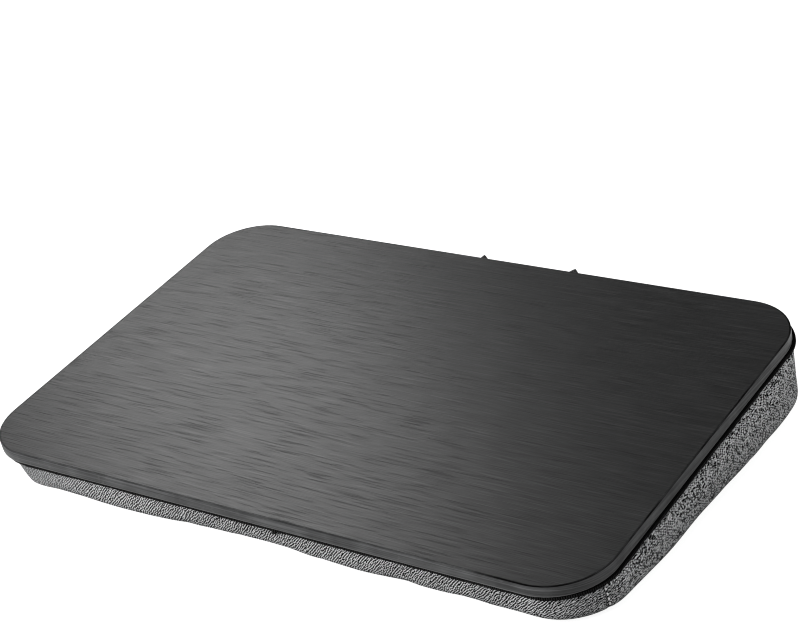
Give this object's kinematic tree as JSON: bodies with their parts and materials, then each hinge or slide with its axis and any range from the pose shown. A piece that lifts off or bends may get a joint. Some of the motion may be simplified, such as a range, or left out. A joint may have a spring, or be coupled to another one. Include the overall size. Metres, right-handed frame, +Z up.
{
  "type": "cushioned lap tray",
  "caption": "Lap tray with a dark wood-grain board, rounded corners and edge band, on a wedge-shaped bead cushion in a heathered zip cover with a webbing carry strap.",
  "frame": {"origin": "middle of the underside's footprint, on the surface the tray rests on", "axes": "+X along the long edges, to the user's right; +Y from the user's edge to the back; +Z up. The board slopes 4.6 degrees towards -Y"},
  "size_m": [0.4826, 0.3336, 0.052],
  "materials": {
    "wood_grain_laminate": "satin",
    "edge_band": "satin",
    "fibreboard": "matte",
    "backing_sheet": "matte",
    "hook_and_loop": "matte",
    "black_lining": "matte",
    "heather_fabric": "matte",
    "inner_ticking": "matte",
    "bead_filling": "matte",
    "zip_tape": "matte",
    "zip_teeth": "satin",
    "zip_metal": "satin",
    "webbing": "matte"
  },
  "bodies": {
    "tray": {"top_laminate": "wood_grain_laminate", "edge_band": "edge_band", "board_core": "fibreboard", "bottom_backing": "backing_sheet", "hook_strips": "hook_and_loop", "loop_strips": "hook_and_loop", "top_panel": "black_lining", "piping": "black_lining", "gusset_front": "heather_fabric", "gusset_left": "heather_fabric", "gusset_right": "heather_fabric", "gusset_back_upper": "heather_fabric", "gusset_back_lower": "heather_fabric", "bottom_panel": "heather_fabric", "inner_bag": "inner_ticking", "bead_filling": "bead_filling", "zip_tape_upper": "zip_tape", "zip_tape_lower": "zip_tape", "zip_teeth_upper": "zip_teeth", "zip_teeth_lower": "zip_teeth", "zip_stops": "zip_metal", "zip_end_patches": "zip_tape", "strap_end_left": "webbing", "strap_end_right": "webbing"},
    "zip_slider": {"zip_slider": "zip_metal"},
    "zip_pull": {"zip_pull": "zip_metal"},
    "carry_handle": {"carry_strap": "webbing"}
  },
  "joints": [
    {"name": "zip_slide", "type": "slide", "parent": "tray", "child": "zip_slider", "axis": [1, 0, 0], "range_m": [0, 0.272]},
    {"name": "zip_pull_flip", "type": "hinge", "parent": "zip_slider", "child": "zip_pull", "pos_m": [-0.138, 0.1427, 0.0135], "axis": [0, 0, 1], "range_deg": [0, 170]},
    {"name": "carry_handle_swing", "type": "hinge", "parent": "tray", "child": "carry_handle", "pos_m": [0, 0.13835, 0.04001], "axis": [1, 0, 0], "range_deg": [-12, 112], "stiffness_Nm_per_rad": 0.01}
  ]
}
